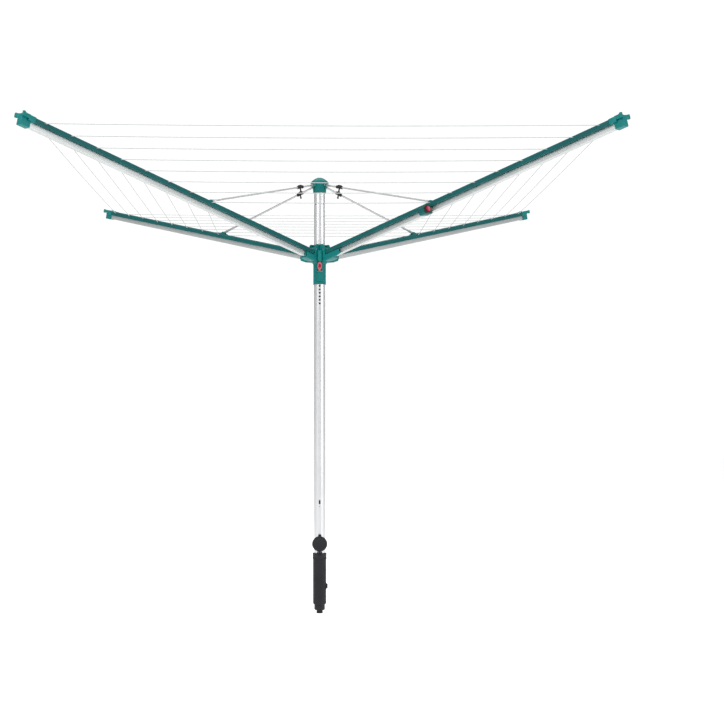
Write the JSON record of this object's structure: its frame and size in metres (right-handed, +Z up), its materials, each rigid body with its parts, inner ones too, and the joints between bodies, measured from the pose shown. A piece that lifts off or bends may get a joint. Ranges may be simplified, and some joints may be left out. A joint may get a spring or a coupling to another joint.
{
  "type": "rotary clothesline",
  "caption": "Rotary clothesline: a mast that turns in a ground socket, tilted arms that fold up on struts like an umbrella, and square loops of line between the arms.",
  "frame": {"origin": "centre of the flat underside of the ground socket, on the mast axis", "axes": "+Z up along the mast; -Y is the side of the release lever; the arms stand at 45 degrees to X and Y"},
  "size_m": [2.2516, 2.2516, 1.9769],
  "materials": {
    "aluminium": "satin anodised",
    "strut_aluminium": "satin drawn tube",
    "cover_green": "satin extruded plastic",
    "green_plastic": "satin moulded plastic",
    "charcoal_plastic": "matt moulded plastic",
    "black_plastic": "matt moulded plastic",
    "red_plastic": "gloss moulded plastic",
    "steel": "plated",
    "line": "smooth coated cord"
  },
  "bodies": {
    "socket": {"ground_socket": "charcoal_plastic", "socket_collar": "charcoal_plastic", "lid_hinge_pin": "steel"},
    "lid": {"socket_lid": "charcoal_plastic"},
    "mast": {"mast_tube": "aluminium", "mast_foot": "black_plastic", "crown_body": "green_plastic", "crown_cap": "green_plastic", "strut_pin_front_left": "steel", "strut_pin_front_right": "steel", "strut_pin_back_right": "steel", "strut_pin_back_left": "steel"},
    "hub": {"hub_body": "green_plastic", "hub_handle": "green_plastic", "lever_pin": "steel", "lever_spring": "steel", "root_pin_front_left": "steel", "root_pin_front_right": "steel", "root_pin_back_right": "steel", "root_pin_back_left": "steel"},
    "release_lever": {"release_lever": "red_plastic"},
    "strut_front_left": {"strut_front_left": "strut_aluminium"},
    "strut_clip_front_left": {"strut_clip_front_left": "black_plastic"},
    "arm_front_left": {"arm_root_front_left": "green_plastic", "arm_profile_front_left": "aluminium", "arm_cover_front_left": "cover_green", "tip_cap_front_left": "green_plastic", "strut_bracket_front_left": "green_plastic", "lines_front_left": "line"},
    "strut_front_right": {"strut_front_right": "strut_aluminium"},
    "strut_clip_front_right": {"strut_clip_front_right": "black_plastic"},
    "arm_front_right": {"arm_root_front_right": "green_plastic", "arm_profile_front_right": "aluminium", "arm_cover_front_right": "cover_green", "tip_cap_front_right": "green_plastic", "strut_bracket_front_right": "green_plastic", "lines_front_right": "line", "lock_housing": "green_plastic", "lock_collar": "black_plastic"},
    "strut_back_right": {"strut_back_right": "strut_aluminium"},
    "strut_clip_back_right": {"strut_clip_back_right": "black_plastic"},
    "arm_back_right": {"arm_root_back_right": "green_plastic", "arm_profile_back_right": "aluminium", "arm_cover_back_right": "cover_green", "tip_cap_back_right": "green_plastic", "strut_bracket_back_right": "green_plastic", "lines_back_right": "line"},
    "strut_back_left": {"strut_back_left": "strut_aluminium"},
    "strut_clip_back_left": {"strut_clip_back_left": "black_plastic"},
    "arm_back_left": {"arm_root_back_left": "green_plastic", "arm_profile_back_left": "aluminium", "arm_cover_back_left": "cover_green", "tip_cap_back_left": "green_plastic", "strut_bracket_back_left": "green_plastic", "lines_back_left": "line"},
    "lock_button": {"lock_button": "red_plastic"}
  },
  "joints": [
    {"name": "mast_turn", "type": "hinge", "parent": "socket", "child": "mast", "pos_m": [0, 0, 0.05], "axis": [0, 0, 1], "continuous": true},
    {"name": "lid_hinge", "type": "hinge", "parent": "socket", "child": "lid", "pos_m": [0, -0.0355, 0.274], "axis": [1, 0, 0], "range_deg": [0, 95]},
    {"name": "fold", "type": "hinge", "parent": "mast", "child": "strut_front_left", "pos_m": [-0.02687, -0.02687, 1.90531], "axis": [0.7071, -0.7071, 0], "range_deg": [0, 74.5]},
    {"name": "arm_fold_front_left", "type": "hinge", "parent": "strut_front_left", "child": "arm_front_left", "pos_m": [-0.45343, -0.45343, 1.76216], "axis": [0.7071, -0.7071, 0], "range_deg": [-149, 0], "deforming": ["lines_front_left"]},
    {"name": "clip_turn_front_left", "type": "hinge", "parent": "strut_front_left", "child": "strut_clip_front_left", "pos_m": [-0.02687, -0.02687, 1.90531], "axis": [-0.688, -0.688, -0.2309], "range_deg": [0, 90]},
    {"name": "strut_fold_front_right", "type": "hinge", "parent": "mast", "child": "strut_front_right", "pos_m": [0.02687, -0.02687, 1.90531], "axis": [0.7071, 0.7071, 0], "range_deg": [0, 74.5]},
    {"name": "arm_fold_front_right", "type": "hinge", "parent": "strut_front_right", "child": "arm_front_right", "pos_m": [0.45343, -0.45343, 1.76216], "axis": [0.7071, 0.7071, 0], "range_deg": [-149, 0], "deforming": ["lines_front_right"]},
    {"name": "clip_turn_front_right", "type": "hinge", "parent": "strut_front_right", "child": "strut_clip_front_right", "pos_m": [0.02687, -0.02687, 1.90531], "axis": [0.688, -0.688, -0.2309], "range_deg": [0, 90]},
    {"name": "strut_fold_back_right", "type": "hinge", "parent": "mast", "child": "strut_back_right", "pos_m": [0.02687, 0.02687, 1.90531], "axis": [-0.7071, 0.7071, 0], "range_deg": [0, 74.5]},
    {"name": "arm_fold_back_right", "type": "hinge", "parent": "strut_back_right", "child": "arm_back_right", "pos_m": [0.45343, 0.45343, 1.76216], "axis": [-0.7071, 0.7071, 0], "range_deg": [-149, 0], "deforming": ["lines_back_right"]},
    {"name": "clip_turn_back_right", "type": "hinge", "parent": "strut_back_right", "child": "strut_clip_back_right", "pos_m": [0.02687, 0.02687, 1.90531], "axis": [0.688, 0.688, -0.2309], "range_deg": [0, 90]},
    {"name": "strut_fold_back_left", "type": "hinge", "parent": "mast", "child": "strut_back_left", "pos_m": [-0.02687, 0.02687, 1.90531], "axis": [-0.7071, -0.7071, 0], "range_deg": [0, 74.5]},
    {"name": "arm_fold_back_left", "type": "hinge", "parent": "strut_back_left", "child": "arm_back_left", "pos_m": [-0.45343, 0.45343, 1.76216], "axis": [-0.7071, -0.7071, 0], "range_deg": [-149, 0], "deforming": ["lines_back_left"]},
    {"name": "clip_turn_back_left", "type": "hinge", "parent": "strut_back_left", "child": "strut_clip_back_left", "pos_m": [-0.02687, 0.02687, 1.90531], "axis": [-0.688, 0.688, -0.2309], "range_deg": [0, 90]},
    {"name": "hub_level", "type": "hinge", "parent": "arm_front_left", "child": "hub", "pos_m": [-0.02687, -0.02687, 1.619], "axis": [0.7071, -0.7071, 0], "range_deg": [0, 74.5]},
    {"name": "release_press", "type": "hinge", "parent": "hub", "child": "release_lever", "pos_m": [0, -0.0325, 1.522], "axis": [-1, 0, 0], "range_deg": [0, 5], "stiffness_Nm_per_rad": 1.2, "springref_deg": -8.59},
    {"name": "lock_press", "type": "slide", "parent": "arm_front_right", "child": "lock_button", "axis": [-0.688, 0.688, -0.2309], "range_m": [0, 0.004], "stiffness_N_per_m": 900, "springref_m": -0.004}
  ],
  "couplings": [
    {"joint": "arm_fold_front_left", "follows": "fold", "ratio": -2},
    {"joint": "clip_turn_front_left", "follows": "fold", "ratio": 1.208},
    {"joint": "strut_fold_front_right", "follows": "fold", "ratio": 1},
    {"joint": "arm_fold_front_right", "follows": "fold", "ratio": -2},
    {"joint": "clip_turn_front_right", "follows": "fold", "ratio": 1.208},
    {"joint": "strut_fold_back_right", "follows": "fold", "ratio": 1},
    {"joint": "arm_fold_back_right", "follows": "fold", "ratio": -2},
    {"joint": "clip_turn_back_right", "follows": "fold", "ratio": 1.208},
    {"joint": "strut_fold_back_left", "follows": "fold", "ratio": 1},
    {"joint": "arm_fold_back_left", "follows": "fold", "ratio": -2},
    {"joint": "clip_turn_back_left", "follows": "fold", "ratio": 1.208},
    {"joint": "hub_level", "follows": "fold", "ratio": 1}
  ]
}
